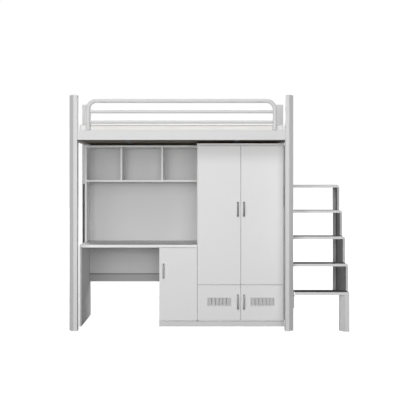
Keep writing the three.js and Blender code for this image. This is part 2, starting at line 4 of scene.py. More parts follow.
import bpy
import numpy as np
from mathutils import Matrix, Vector


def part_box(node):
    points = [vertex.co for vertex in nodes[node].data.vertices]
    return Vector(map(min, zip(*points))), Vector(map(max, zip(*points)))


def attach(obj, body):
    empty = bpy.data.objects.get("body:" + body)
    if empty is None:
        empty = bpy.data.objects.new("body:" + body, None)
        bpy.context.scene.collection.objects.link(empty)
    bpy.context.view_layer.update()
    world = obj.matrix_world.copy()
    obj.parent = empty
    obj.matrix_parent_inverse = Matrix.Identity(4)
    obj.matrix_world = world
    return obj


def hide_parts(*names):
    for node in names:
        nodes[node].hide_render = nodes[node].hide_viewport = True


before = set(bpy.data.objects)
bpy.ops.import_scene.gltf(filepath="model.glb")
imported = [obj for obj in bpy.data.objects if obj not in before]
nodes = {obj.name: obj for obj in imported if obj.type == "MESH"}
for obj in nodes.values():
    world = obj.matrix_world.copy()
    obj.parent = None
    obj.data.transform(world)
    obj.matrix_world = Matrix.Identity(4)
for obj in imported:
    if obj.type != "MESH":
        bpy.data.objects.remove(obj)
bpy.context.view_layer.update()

# ---- Camera, lights and floor ----
# The bed stands on a plain pale floor against white. Three soft lights in front give the front
# faces their tone, and others at the sides, behind and overhead reach the turned faces.
camera_lens = bpy.data.cameras.new("camera")
camera_lens.sensor_width = 36
camera_lens.lens = 69.81
camera_lens.shift_x = 0.01525
camera_lens.shift_y = -0.0325
camera = bpy.data.objects.new("camera", camera_lens)
camera.location = (-0.1422, -7.3325, 1.281)
camera.rotation_euler = (math.radians(90), 0, 0)
bpy.context.scene.collection.objects.link(camera)
bpy.context.scene.camera = camera
bpy.context.scene.view_settings.view_transform = "Standard"


def soft_light(name, place, target, size, power):
    """A rectangular lamp at a place, turned to face its target."""
    lamp = bpy.data.lights.new(name, "AREA")
    lamp.shape = "RECTANGLE"
    lamp.size, lamp.size_y = size
    lamp.energy = power
    lamp_object = bpy.data.objects.new(name, lamp)
    lamp_object.location = place
    toward = Vector(target) - Vector(place)
    lamp_object.rotation_euler = toward.to_track_quat("-Z", "Y").to_euler()
    bpy.context.scene.collection.objects.link(lamp_object)


soft_light("front_light", (-0.9, -8.6, 1.5), (0, 0, 1.1), (7.0, 1.8), 272)
soft_light("upper_light", (-1.0, -8.4, 3.1), (0, 0, 1.1), (4.5, 2.0), 150)
soft_light("high_light", (-0.4, -5.8, 5.4), (0, 0, 1.3), (4.5, 2.5), 120)
soft_light("left_light", (-7.5, -2.5, 1.6), (0, 0, 1.2), (2.5, 2.5), 22)
soft_light("right_light", (7.5, -2.5, 1.6), (0, 0, 1.2), (2.5, 2.5), 20)
soft_light("side_light", (7.0, 3.6, 2.2), (0.5, 0.4, 1.0), (3.0, 2.5), 110)
soft_light("back_light", (-3.5, 7.0, 3.6), (0, 0, 1.0), (4.0, 3.0), 380)
soft_light("top_light", (0.0, 2.2, 6.5), (0, 0.3, 1.8), (4.5, 3.0), 220)


class Finish:
    """A socket of a material's nodes. Sums on it add Math nodes, and node() adds any other node."""

    def __init__(self, tree, socket=None):
        self.tree = tree
        self.socket = socket

    def node(self, kind, settings=None, values=None, output=0):
        """Adds a node: its settings first, then a value or a link for each socket named."""
        made = self.tree.nodes.new(kind)
        for name, setting in (settings or {}).items():
            setattr(made, name, setting)
        for name, value in (values or {}).items():
            found = self.socket_of(made.inputs, name)
            if isinstance(value, Finish):
                self.tree.links.new(value.socket, found)
            else:
                found.default_value = value
        return Finish(self.tree, self.socket_of(made.outputs, output) if made.outputs else None)

    @staticmethod
    def socket_of(sockets, name):
        """The socket with that number, or with that identifier or name."""
        if isinstance(name, int):
            return sockets[name]
        same = [s for s in sockets if s.identifier == name]
        return same[0] if same else sockets[name]

    def maths(self, operation, *values):
        return self.node("ShaderNodeMath", {"operation": operation}, dict(enumerate(values)))

    def __add__(self, other):
        return self.maths("ADD", self, other)

    __radd__ = __add__

    def __sub__(self, other):
        return self.maths("SUBTRACT", self, other)

    def __rsub__(self, other):
        return self.maths("SUBTRACT", other, self)

    def __mul__(self, other):
        return self.maths("MULTIPLY", self, other)

    __rmul__ = __mul__

    def clamped(self):
        return self.maths("MINIMUM", self.maths("MAXIMUM", self, 0.0), 1.0)


def grey(tone, warmth=0.0):
    """A light tone as a colour, with a little more red and less blue for its warmth."""
    return (tone * (1 + warmth), tone, tone * (1 - warmth), 1.0)


def blended(finish, share, first, second):
    """The first colour where the share is 0, and the second where it is 1."""
    values = {"Factor_Float": share, "A_Color": first, "B_Color": second}
    return finish.node("ShaderNodeMix", {"data_type": "RGBA"}, values, "Result_Color")


# The floor keeps near the white behind it further out, and shows faint shade near the feet.
floor_half = 40.0
floor_corners = np.array([[-1, -1, 0], [1, -1, 0], [1, 1, 0], [-1, 1, 0]]) * floor_half
floor_mesh = bpy.data.meshes.new("floor")
floor_mesh.from_pydata(floor_corners.tolist(), [], [(0, 1, 2, 3)])
floor = bpy.data.objects.new("floor", floor_mesh)
bpy.context.scene.collection.objects.link(floor)
floor_paint = bpy.data.materials.new("floor")
floor_paint.use_nodes = True
floor_paint.node_tree.nodes.clear()
start = Finish(floor_paint.node_tree)
place = start.node("ShaderNodeNewGeometry", {}, {}, "Position")
away = start.node("ShaderNodeVectorMath", {"operation": "LENGTH"}, {0: place}, "Value")
far = (away * 0.35 - 0.5).clamped()
seen = start.node("ShaderNodeLightPath", {}, {}, "Is Camera Ray")
matt = start.node("ShaderNodeBsdfDiffuse", {}, {"Color": grey(0.20)})
glow = start.node("ShaderNodeEmission", {}, {"Color": grey(1.0), "Strength": 1.25})
share = seen * (0.82 + far * 0.18)
surface = start.node("ShaderNodeMixShader", {}, {0: share, 1: matt, 2: glow})
start.node("ShaderNodeOutputMaterial", {}, {"Surface": surface})
floor_mesh.materials.append(floor_paint)

room = bpy.data.worlds.new("room")
bpy.context.scene.world = room
room.use_nodes = True
room.node_tree.nodes.clear()
start = Finish(room.node_tree)
seen = start.node("ShaderNodeLightPath", {}, {}, "Is Camera Ray")
tone = seen * 0.96 + 0.06
lit = start.node("ShaderNodeBackground", {}, {"Color": grey(1.0), "Strength": tone})
start.node("ShaderNodeOutputWorld", {}, {"Surface": lit})


# ---- Posts ----
# The four posts are welded from folded steel sheet with a wide slanted outer corner, and powder
# coated white. A moulded plug closes the top of each tube, and a glide carries its foot.
def new_finish(name):
    """An empty material, with the first wrapped socket to add nodes to."""
    material = bpy.data.materials.new(name)
    material.use_nodes = True
    material.node_tree.nodes.clear()
    return material, Finish(material.node_tree)


def place_on(start):
    """The point on the piece, in metres."""
    return start.node("ShaderNodeTexCoord", {}, {}, "Object")


def noise(start, where, scale, detail=3.0, roughness=0.5):
    """Cloudy values from 0 to 1, with so many clouds to the metre."""
    values = {"Vector": where, "Scale": scale, "Detail": detail, "Roughness": roughness}
    return start.node("ShaderNodeTexNoise", {}, values, "Fac")


def softened_edges(start, radius):
    """The normal as if edges were rounded, and a mask that is 1 on an edge: the more the rounded
    normal leans away from the true one, the higher it is."""
    rounded = start.node("ShaderNodeBevel", {"samples": 4}, {"Radius": radius})
    true = start.node("ShaderNodeNewGeometry", {}, {}, "Normal")
    values = {0: rounded, 1: true}
    lean = start.node("ShaderNodeVectorMath", {"operation": "DOT_PRODUCT"}, values, "Value")
    return rounded, ((1 - lean) * 6.0).clamped()


def bumped(start, height, depth, strength, normal=None):
    """A normal that follows the height, which is so many metres deep."""
    values = {"Height": height, "Distance": depth, "Strength": strength}
    if normal is not None:
        values["Normal"] = normal
    return start.node("ShaderNodeBump", {}, values)


def surfaced(material, start, **values):
    """Closes a material with its surface shader."""
    named = {name.replace("_", " "): value for name, value in values.items()}
    surface = start.node("ShaderNodeBsdfPrincipled", {}, named)
    start.node("ShaderNodeOutputMaterial", {}, {"Surface": surface})
    return material


def powder_coat(name, tone, warmth, worn, roughness):
    """Satin paint baked on steel: faint clouds of tone, the fine ripple of sprayed powder, and
    edges where it lies thin and is rubbed a little darker."""
    material, start = new_finish(name)
    where = place_on(start)
    clouds = noise(start, where, 2.6)
    ripple = noise(start, where, 620.0, 2.0)
    rubbed = noise(start, where, 38.0, 5.0, 0.65)
    rounded, edge = softened_edges(start, 0.0035)
    wear = (edge * (rubbed * 2.4 - 0.75)).clamped()
    coat = blended(start, clouds * 0.6, grey(tone, warmth), grey(tone * 0.965, warmth))
    colour = blended(start, wear * 0.55, coat, worn)
    gloss = roughness + clouds * 0.08 + wear * 0.12
    normal = bumped(start, ripple, 0.00012, 0.35, rounded)
    looks = {"Base_Color": colour, "Roughness": gloss, "Normal": normal}
    return surfaced(material, start, Specular_IOR_Level=0.4, **looks)


steel_white = powder_coat("white_powder_coat", 0.735, -0.002, grey(0.60, 0.01), 0.40)


def moulded(name, tone, warmth, roughness):
    """Moulded plastic: nearly even in tone, with a fine spark-worn grain and lighter, worn edges."""
    material, start = new_finish(name)
    where = place_on(start)
    clouds = noise(start, where, 14.0)
    grain = noise(start, where, 1500.0, 2.0)
    rounded, edge = softened_edges(start, 0.0008)
    dull = blended(start, clouds * 0.5, grey(tone, warmth), grey(tone * 0.92, warmth))
    colour = blended(start, edge * 0.3, dull, grey(min(1.0, tone * 1.25), warmth))
    normal = bumped(start, grain, 0.00006, 0.4, rounded)
    gloss = roughness + clouds * 0.1
    return surfaced(material, start, Base_Color=colour, Roughness=gloss, Normal=normal)


dark_plastic = moulded("grey_moulded_plastic", 0.20, 0.0, 0.45)


def grid_faces(rows, columns, first=0, looped=False):
    """Quads between neighbours of a grid whose columns close on themselves, and a face on each
    end unless the rows close too. Rows climb along the piece, and columns go round it to the
    left."""
    index = np.arange(rows * columns).reshape(rows, columns) + first
    beside = np.roll(index, -1, axis=1)
    if looped:
        ahead = [np.roll(beside, -1, axis=0), np.roll(index, -1, axis=0)]
        return np.stack([index, beside] + ahead, axis=-1).reshape(-1, 4).tolist()
    quads = np.stack([index[:-1], beside[:-1], beside[1:], index[1:]], axis=-1)
    ends = [index[0, ::-1].tolist(), index[-1].tolist()]
    return quads.reshape(-1, 4).tolist() + ends


def new_piece(name, shapes, material, body, sharp=35, looped=False):
    """One object from one or more grids of points, with creases sharper than an angle kept."""
    faces = []
    first = 0
    for points in shapes:
        faces += grid_faces(*points.shape[:2], first, looped)
        first += points.shape[0] * points.shape[1]
    mesh = bpy.data.meshes.new(name)
    corners = np.concatenate([points.reshape(-1, 3) for points in shapes])
    mesh.from_pydata(corners.tolist(), [], faces)
    mesh.polygons.foreach_set("use_smooth", np.ones(len(faces), dtype=bool))
    mesh.set_sharp_from_angle(angle=math.radians(sharp))
    mesh.materials.append(material)
    made = bpy.data.objects.new(name, mesh)
    bpy.context.scene.collection.objects.link(made)
    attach(made, body)
    return made


def painted(material, *names):
    """Gives CAD nodes their finish."""
    for name in names:
        slots = nodes[name].data.materials
        slots.clear()
        slots.append(material)


def scaled_prism(outline, levels):
    """An outline carried up through levels of (size, height): at each, every corner lies at the
    middle plus its own offset times the size."""
    middle = outline.mean(axis=0)
    sizes, heights = np.array(levels).T
    plan = middle + (outline - middle)[None] * sizes[:, None, None]
    high = np.broadcast_to(heights[:, None, None], plan.shape[:2] + (1,))
    return np.concatenate([plan, high], axis=-1)


post_names = ["post_front_left", "post_front_right", "post_rear_left", "post_rear_right"]
painted(steel_white, *post_names)
post_wall = 0.0017
post_slant = 0.040


def post_bore(name):
    """The outline inside a post's tube: a square with its outer corner cut off at 45 degrees."""
    low, high = (np.array(corner)[:2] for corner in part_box(name))
    outer_x = 0 if "left" in name else 1
    outer_y = 0 if "front" in name else 1
    side = np.array([[0, 0], [1, 0], [1, 1], [0, 1]], dtype=float)
    corners = low + post_wall + side * (high - low - 2 * post_wall)
    cut = int(np.flatnonzero((side == [outer_x, outer_y]).all(axis=1))[0])
    corner = corners[cut]
    steps = [corners[cut - 1] - corner, corners[(cut + 1) % 4] - corner]
    slant = [corner + step / np.linalg.norm(step) * (post_slant - post_wall * 0.6) for step in steps]
    return np.concatenate([corners[:cut], slant, corners[cut + 1:]])


def post_plug(name, face, inward):
    """A plug in a tube's mouth: a ribbed stem, a shoulder and a shallow crown just under flush."""
    stem = [[0.94, 0.022], [0.97, 0.020], [0.97, 0.006]]
    crown = [[0.99, 0.005], [0.99, 0.0016], [0.975, 0.0006], [0.90, 0.0003]]
    depths = np.array(stem + crown)
    levels = np.stack([depths[:, 0], face + inward * depths[:, 1]], axis=-1)
    return scaled_prism(post_bore(name), levels if inward < 0 else levels[::-1])


post_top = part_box("post_front_left")[1].z
plugs = [post_plug(name, post_top, -1) for name in post_names]
new_piece("post_plugs", plugs, dark_plastic, "frame")
glides = [post_plug(name, 0.0, 1) for name in post_names]
new_piece("post_glides", glides, dark_plastic, "frame")


# ---- Side and end rails ----
# Each rail is a folded steel box, coated like the posts, and hangs between them. Domed bolts on
# the hidden faces draw its ends to the posts.
painted(steel_white, "end_rail_left", "end_rail_right")


def facing_along(start, axis):
    """How far the surface faces along an axis, from -1 to 1."""
    normal = start.node("ShaderNodeNewGeometry", {}, {}, "Normal")
    return start.node("ShaderNodeSeparateXYZ", {}, {"Vector": normal}, axis)


def painted_shade_coat(name, node, outside, inside, axis, way):
    """Powder coat on a folded sheet, with painted shade. Its colour runs between a pair of tones from
    front to back, darker towards the back, except on faces that look out along an axis. Those that
    look in run between a second pair of tones: painted shade where darker, painted light where
    brighter."""
    low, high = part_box(node)
    material, start = new_finish(name)
    where = place_on(start)
    clouds = noise(start, where, 5.0)
    ripple = noise(start, where, 620.0, 2.0)
    rounded, edge = softened_edges(start, 0.0035)
    along = start.node("ShaderNodeSeparateXYZ", {}, {"Vector": where}, "Y")
    back = ((along - low.y) * (1 / (high.y - low.y))).clamped()
    lean = facing_along(start, axis) * way
    inward = lean.clamped()
    outward = (lean * -1.0).clamped()
    # Painted shade: the coat darkens towards the back, and faces that look in take the second pair of
    # tones.
    painted_back_shade = (back * 0.9 + clouds * 0.1) * (1 - outward)
    outer = blended(start, painted_back_shade, grey(outside[0]), grey(outside[1]))
    inner = blended(start, back, grey(inside[0]), grey(inside[1]))
    bare = blended(start, inward, outer, inner)
    colour = blended(start, edge * 0.2, bare, grey(0.45, 0.01))
    normal = bumped(start, ripple, 0.00012, 0.35, rounded)
    gloss = 0.42 + clouds * 0.1
    looks = {"Base_Color": colour, "Roughness": gloss, "Normal": normal}
    surfaced(material, start, Specular_IOR_Level=0.4, **looks)
    painted(material, node)


# Painted shade: the front rail's underside and the rear rail's inside are painted dark. Painted light:
# the front left post's inner side is painted brighter than its front.
painted_shade_coat("front_rail_painted_shade_coat", "side_rail_front", (0.735, 0.735), (0.12, 0.12), "Z", -1.0)
painted_shade_coat("rear_rail_painted_shade_coat", "side_rail_rear", (0.735, 0.735), (0.10, 0.10), "Y", -1.0)
painted_shade_coat("left_post_painted_light_coat", "post_front_left", (0.735, 0.735), (0.98, 0.98), "X", 1.0)


def stretched(start, where, scale):
    """Places drawn out along the axes whose scale is small."""
    return start.node("ShaderNodeMapping", {}, {"Vector": where, "Scale": scale}, "Vector")


def brushed_metal(name, tone, roughness, along):
    """Satin nickel: fine scratches that run one way, with streaks of gloss between them."""
    material, start = new_finish(name)
    where = place_on(start)
    stretch = tuple(0.04 if axis == along else 1.0 for axis in range(3))
    drawn = stretched(start, where, stretch)
    scratches = noise(start, drawn, 2200.0, 2.0)
    streaks = noise(start, drawn, 260.0)
    rounded, edge = softened_edges(start, 0.0008)
    shade = blended(start, streaks * 0.8, grey(tone, 0.012), grey(tone * 0.80, 0.012))
    colour = blended(start, edge * 0.35, shade, grey(min(1.0, tone * 1.3), 0.01))
    normal = bumped(start, scratches, 0.00005, 0.5, rounded)
    gloss = roughness + streaks * 0.14
    return surfaced(material, start, Base_Color=colour, Metallic=1.0, Roughness=gloss, Normal=normal)


nickel = brushed_metal("satin_nickel", 0.29, 0.34, 2)
round_steps = 24


def turned(middle, axis, profile):
    """A shape turned about an axis through its middle: a ring of each profile radius, at each
    profile distance along the axis. The distances climb."""
    angle = np.linspace(0, 2 * np.pi, round_steps, endpoint=False)
    radius, along = np.array(profile).T[:, :, None]
    ring = [radius * np.cos(angle), radius * np.sin(angle), along + 0 * angle]
    return np.roll(np.stack(ring, axis=-1), axis + 1, axis=-1) + np.array(middle)


def dome_bolt(x, y, z, out):
    """A bolt head that stands out of a face along Y: a washer, and a dome with a flat on top."""
    washer = [[0.0105, 0.0], [0.0105, 0.0012], [0.008, 0.0014]]
    dome = [[0.0078, 0.0026], [0.006, 0.0042], [0.003, 0.0049], [0.0008, 0.005]]
    profile = np.array(washer + dome) * [1, out]
    return turned((x, y, z), 1, profile if out > 0 else profile[::-1])


rail_low, rail_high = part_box("side_rail_front")
rear_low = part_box("side_rail_rear")[0]
bolt_inset = 0.045
bolt_margin = 0.024
bolt_heights = [rail_low.z + bolt_margin, rail_high.z - bolt_margin]
bolt_ends = [rail_low.x + bolt_inset, rail_high.x - bolt_inset]
ledge = 0.012
rail_bolts = [dome_bolt(x, rail_high.y - ledge, z, 1) for x in bolt_ends for z in bolt_heights]
rail_bolts += [dome_bolt(x, rear_low.y + ledge, z, -1) for x in bolt_ends for z in bolt_heights]
new_piece("rail_bolts", rail_bolts, nickel, "frame")


# ---- Deck ----
# Two flat steel straps rest on the rails' inner ledges and carry a sheet of plywood. Its rotary-cut
# face shows long wavy grain, and its edges show the stacked plies. Straps and plywood are painted dark
# as shade under the bed.
# The straps' coat is painted dark: painted shade.
deck_painted_shade = powder_coat("deck_strap_painted_shade_coat", 0.22, 0.0, grey(0.35), 0.5)
painted(deck_painted_shade, "deck_crossbar_1", "deck_crossbar_2")
# The plywood's tones are painted dark: painted shade.
ply_painted_shade, start = new_finish("plywood")
where = place_on(start)
figure = noise(start, stretched(start, where, (1.0, 9.0, 1.0)), 4.0, 6.0, 0.6)
threads = noise(start, stretched(start, where, (1.0, 60.0, 4.0)), 30.0, 3.0)
layers = {"Vector": where, "Scale": 90.0, "Distortion": 0.4}
plies = start.node("ShaderNodeTexWave", {"bands_direction": "Z"}, layers, "Fac")
upright = facing_along(start, "Z")
upward = upright.maths("ABSOLUTE", upright)
face = blended(start, figure, grey(0.22, 0.20), grey(0.15, 0.26))
face = blended(start, threads * 0.35, face, grey(0.13, 0.32))
side = blended(start, plies, grey(0.42, 0.2), grey(0.22, 0.3))
wood = blended(start, upward, side, face)
relief = bumped(start, threads, 0.0003, 0.4)
surfaced(ply_painted_shade, start, Base_Color=wood, Roughness=0.62 + figure * 0.15, Normal=relief)
painted(ply_painted_shade, "bed_board")


# ---- Guardrail ----
# A hoop of round tube is bent at its two top corners and stands on the front rail. Two thinner
# bars are coped into its legs, and a small bead of weld runs round every joint.
def rounded_path(corners, radius, steps):
    """Points along straight stretches with a quarter turn at each corner: the corner's turn middle
    plus a radius swung from one leg to the other."""
    points = [corners[:1]]
    for before, corner, after in zip(corners[:-2], corners[1:-1], corners[2:]):
        back = (before - corner) / np.linalg.norm(before - corner)
        ahead = (after - corner) / np.linalg.norm(after - corner)
        swing = np.linspace(0, np.pi / 2, steps)[:, None]
        middle = corner + radius * (back + ahead)
        points.append(middle - radius * (ahead * np.cos(swing) + back * np.sin(swing)))
    return np.concatenate(points + [corners[-1:]])


def tube(path, radius, across, sides=round_steps):
    """A round section carried along a path in one plane: each point plus the radius swung from the
    path's side to the direction across that plane."""
    along = np.gradient(path, axis=0)
    steps = np.diff(path, axis=0)
    steps /= np.linalg.norm(steps, axis=1, keepdims=True)
    along[0], along[-1] = steps[0], steps[-1]
    along[1:-1] = steps[:-1] + steps[1:]
    along /= np.linalg.norm(along, axis=1, keepdims=True)
    flat = np.array(across, dtype=float)
    side = np.cross(flat, along)
    angle = np.linspace(0, 2 * np.pi, sides, endpoint=False)[None, :, None]
    ring = side[:, None] * np.cos(angle) - flat * np.sin(angle)
    return path[:, None] + radius * ring


def bead(middle, axis, radius, width, way=1):
    """A bead of weld round a joint: a fillet that runs from the tube down to the face."""
    swing = np.linspace(0, np.pi / 2, 5)
    sunk = 0.001
    across = radius - sunk + (width + sunk) * (1 - np.sin(swing))
    profile = np.stack([across, width * (1 - np.cos(swing))], axis=-1) * [1, way]
    return turned(middle, axis, profile if way > 0 else profile[::-1])


hoop_low, hoop_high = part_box("guardrail_hoop")
hoop_radius = (hoop_high.y - hoop_low.y) / 2
hoop_bend = 0.075
hoop_y = (hoop_low.y + hoop_high.y) / 2
hoop_left, hoop_right = hoop_low.x + hoop_radius, hoop_high.x - hoop_radius
hoop_top = hoop_high.z - hoop_radius
hoop_corners = np.array([
    [hoop_left, hoop_y, hoop_low.z],
    [hoop_left, hoop_y, hoop_top],
    [hoop_right, hoop_y, hoop_top],
    [hoop_right, hoop_y, hoop_low.z],
])
hoop = tube(rounded_path(hoop_corners, hoop_bend, 14), hoop_radius, (0, 1, 0), 36)
feet = [bead((x, hoop_y, hoop_low.z), 2, hoop_radius, 0.004) for x in (hoop_left, hoop_right)]
guardrail = new_piece("guardrail_tube", [hoop] + feet, steel_white, "frame")
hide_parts("guardrail_hoop")

bars = []
bar_bead = 0.0035
bar_reach = 0.6
bead_reach = 0.86
for bar_name in ("guardrail_bar_1", "guardrail_bar_2"):
    bar_low, bar_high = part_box(bar_name)
    bar_radius = (bar_high.y - bar_low.y) / 2
    bar_z = (bar_low.z + bar_high.z) / 2
    bar_ends = (hoop_left + hoop_radius * bar_reach, hoop_right - hoop_radius * bar_reach)
    bars.append(tube(np.array([[x, hoop_y, bar_z] for x in bar_ends]), bar_radius, (0, 1, 0), 32))
    for leg, way in ((hoop_left, 1), (hoop_right, -1)):
        joint = (leg + way * hoop_radius * bead_reach, hoop_y, bar_z)
        bars.append(bead(joint, 0, bar_radius, bar_bead, way))
guard_bars = new_piece("guardrail_bars", bars, steel_white, "frame")
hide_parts("guardrail_bar_1", "guardrail_bar_2")


# ---- Mattress ----
# A foam core in a closely woven cream cover. The cover is cut as a top, a bottom and a band round
# the sides, and the band is sewn to them through a round piping at both edges.
def rounded_rectangle(half_x, half_y, radius, steps):
    """Points round rectangles whose corners are quarter circles: a corner middle plus the radius
    swung through a quarter turn, for each of the four corners in turn."""
    swing = np.concatenate([np.linspace(q, q + 1, steps) * np.pi / 2 for q in range(4)])
    sign_x = np.repeat([1, -1, -1, 1], steps)
    sign_y = np.repeat([1, 1, -1, -1], steps)
    x = sign_x * (half_x - radius) + radius * np.cos(swing)
    y = sign_y * (half_y - radius) + radius * np.sin(swing)
    return np.stack([x, y], axis=-1)


def rounded_slab(low, high, corner, edge, corner_steps=8, edge_steps=5):
    """A slab with rounded corners and softened edges: its outline drawn in by the edge times
    (1 - cosine) while its height turns by the sine, below and above."""
    low, high = np.array(low), np.array(high)
    turn = np.linspace(0, np.pi / 2, edge_steps)
    inset = edge * np.concatenate([1 - np.sin(turn), 1 - np.cos(turn)])[:, None]
    height = np.concatenate([low[2] + edge * (1 - np.cos(turn)), high[2] - edge * (1 - np.sin(turn))])
    half = (high - low)[:2] / 2
    radius = np.maximum(corner - inset, 0.0002)
    plan = rounded_rectangle(half[0] - inset, half[1] - inset, radius, corner_steps)
    level = np.broadcast_to(height[:, None, None], plan.shape[:2] + (1,))
    return np.concatenate([plan + (low + high)[:2] / 2, level], axis=-1)


yarns_per_metre = 170.0


def yarn_bands(start, where, direction):
    """Rows of yarn that lie side by side along one direction."""
    values = {"Vector": where, "Scale": yarns_per_metre, "Distortion": 0.6, "Detail": 1.0}
    return start.node("ShaderNodeTexWave", {"bands_direction": direction}, values, "Fac")


def woven_cotton(name, light, dark, thread):
    """Plain weave in three tones: warp times weft on level faces and warp times rows of yarn on
    upright ones, with slubs and slow clouds of tone."""
    material, start = new_finish(name)
    where = place_on(start)
    upright = facing_along(start, "Z")
    level = upright * upright
    weft = yarn_bands(start, where, "Y") * level + yarn_bands(start, where, "Z") * (1 - level)
    weave = yarn_bands(start, where, "X") * weft
    slubs = noise(start, where, 60.0, 4.0)
    shade = noise(start, where, 3.5)
    yarn = blended(start, shade, grey(light, 0.014), grey(dark, 0.020))
    yarn = blended(start, weave * 0.25 + slubs * 0.12, yarn, grey(thread, 0.028))
    relief = bumped(start, weave + slubs * 0.4, 0.0006, 0.45)
    rough = 0.86 + slubs * 0.08
    looks = {"Base_Color": yarn, "Roughness": rough, "Normal": relief}
    return surfaced(material, start, Sheen_Weight=0.25, Sheen_Roughness=0.5, **looks)


cover = woven_cotton("woven_cream_cover", 0.84, 0.80, 0.70)
# The piping is a darker copy of the cover's cotton: painted shade under the cord.
piping_painted_shade = woven_cotton("woven_piping_painted_shade", 0.62, 0.58, 0.50)

bed_low, bed_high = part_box("mattress")
swell = 0.005
end_swell = -0.0055
pad_low = Vector(bed_low) + Vector((end_swell, swell, 0.001))
pad_high = Vector(bed_high) - Vector((end_swell, swell, swell))
pad_corner = 0.040
pad_edge = 0.009
pad = rounded_slab(pad_low, pad_high, pad_corner, pad_edge)
mattress = new_piece("mattress_cover", [pad], cover, "frame", 180)
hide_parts("mattress")


def points_of(mesh):
    """A mesh's points as an array."""
    flat = np.empty(len(mesh.vertices) * 3)
    mesh.vertices.foreach_get("co", flat)
    return flat.reshape(-1, 3)


def applied(piece):
    """Puts what the piece's modifiers make of it into its mesh."""
    made = bpy.data.meshes.new_from_object(piece.evaluated_get(bpy.context.evaluated_depsgraph_get()))
    piece.modifiers.clear()
    piece.data = made


def inflated(piece, voxel, pressure, reach, frames=20):
    """Swells a piece as cloth with air in it, with no point allowed further than the reach."""
    remesh = piece.modifiers.new("remesh", "REMESH")
    remesh.mode = "VOXEL"
    remesh.voxel_size = voxel
    applied(piece)
    rest = points_of(piece.data)
    cloth = piece.modifiers.new("cloth", "CLOTH")
    cloth.settings.use_pressure = True
    cloth.settings.uniform_pressure_force = pressure
    cloth.settings.effector_weights.gravity = 0
    cloth.settings.tension_stiffness = 40
    cloth.settings.compression_stiffness = 40
    cloth.collision_settings.use_collision = False
    cloth.point_cache.frame_start = 1
    cloth.point_cache.frame_end = frames
    for step in range(1, frames + 1):
        bpy.context.scene.frame_set(step)
    applied(piece)
    bpy.context.scene.frame_set(1)
    moved = points_of(piece.data) - rest
    length = np.linalg.norm(moved, axis=1, keepdims=True)
    moved *= np.minimum(1, reach / np.maximum(length, 1e-9))
    return rest + moved


swollen = inflated(mattress, 0.012, 4.0, 0.006)
swollen[:, 2] = np.maximum(swollen[:, 2], bed_low.z)
mattress.data.vertices.foreach_set("co", swollen.ravel())
smooth = mattress.modifiers.new("smooth", "SUBSURF")
smooth.levels = smooth.render_levels = 1
applied(mattress)
mattress.data.polygons.foreach_set("use_smooth", np.ones(len(mattress.data.polygons), dtype=bool))


def piping(height, radius):
    """Cord sewn round the mattress at a height: a round section carried round its outline, each
    point drawn to the nearest part of the cover's surface level with it."""
    half = np.array(pad_high - pad_low)[:2] / 2
    middle = np.array(pad_high + pad_low)[:2] / 2
    outline = middle + rounded_rectangle(half[0], half[1], pad_corner, 12)
    around = np.concatenate([outline, outline[:1]])
    length = np.concatenate([[0], np.cumsum(np.linalg.norm(np.diff(around, axis=0), axis=1))])
    stations = np.linspace(0, length[-1], 420, endpoint=False)
    path = np.stack([np.interp(stations, length, around[:, k]) for k in range(2)], axis=-1)
    skin = points_of(mattress.data)
    level = skin[np.abs(skin[:, 2] - height) < 0.008][:, :2]
    gaps = np.linalg.norm(path[:, None] - level[None], axis=-1)
    drawn = level[gaps.argmin(axis=1)]
    spread = sum(np.roll(drawn, k, axis=0) for k in range(-3, 4)) / 7
    ahead = np.roll(spread, -1, axis=0) - np.roll(spread, 1, axis=0)
    out = np.stack([ahead[:, 1], -ahead[:, 0]], axis=-1) / np.linalg.norm(ahead, axis=1, keepdims=True)
    swing = np.linspace(0, 2 * np.pi, 12, endpoint=False)
    plan = spread[:, None] + out[:, None] * (radius * np.cos(swing)[None, :, None] + radius * 0.1)
    level_up = height + radius * np.sin(swing)[None, :, None] + 0 * plan[..., :1]
    return np.concatenate([plan, level_up], axis=-1)


pipe_radius = 0.0042
pipe_heights = {
    "mattress_piping_top": pad_high.z - 0.006,
    "mattress_piping_bottom": pad_low.z + 0.009,
}
for name, height in pipe_heights.items():
    loop = [piping(height, pipe_radius)]
    new_piece(name, loop, piping_painted_shade, "frame", 180, looped=True)


# ---- Desk, hutch, pedestal and wardrobe boards ----
# All are chipboard with a white melamine face pressed on with a faint pearl grain. Thin edge tape
# is glued round each board, and shows as a fine line a shade greyer than the faces.
def laminate(name, tone, warmth, top_shade=0.0):
    """Melamine board: even white with faint clouds, a fine pressed grain, a taped edge, and painted
    shade that darkens faces that look up by a share."""
    material, start = new_finish(name)
    where = place_on(start)
    clouds = noise(start, where, 1.7)
    pearl = noise(start, where, 900.0, 2.0)
    chips = noise(start, where, 90.0, 4.0, 0.7)
    rounded, edge = softened_edges(start, 0.0016)
    tape = edge * 0.8
    board = blended(start, clouds * 0.6, grey(tone, warmth), grey(tone * 0.97, warmth))
    taped = blended(start, tape * (0.04 + chips * 0.30), board, grey(tone * 0.74, warmth + 0.01))
    # Painted shade: faces that look up are darkened unevenly by the given share.
    upright = facing_along(start, "Z")
    painted_top_shade = upright.clamped() * (0.75 + chips * 0.25) * top_shade
    colour = blended(start, painted_top_shade, taped, grey(tone * 0.22, 0.01))
    normal = bumped(start, pearl, 0.00008, 0.30, rounded)
    gloss = 0.46 + clouds * 0.10 + tape * 0.08
    looks = {"Base_Color": colour, "Roughness": gloss, "Normal": normal}
    return surfaced(material, start, Specular_IOR_Level=0.22, **looks)


# Faces that look up carry painted shade: a little on most boards, more on the desk top.
board_white = laminate("white_melamine", 0.89, 0.0, 0.3)
painted(board_white, "desk_side_panel", "pedestal_side_panel", "pedestal_bottom")
top_white = laminate("white_desk_top", 0.95, 0.0, 0.62)
painted(top_white, "desk_top")
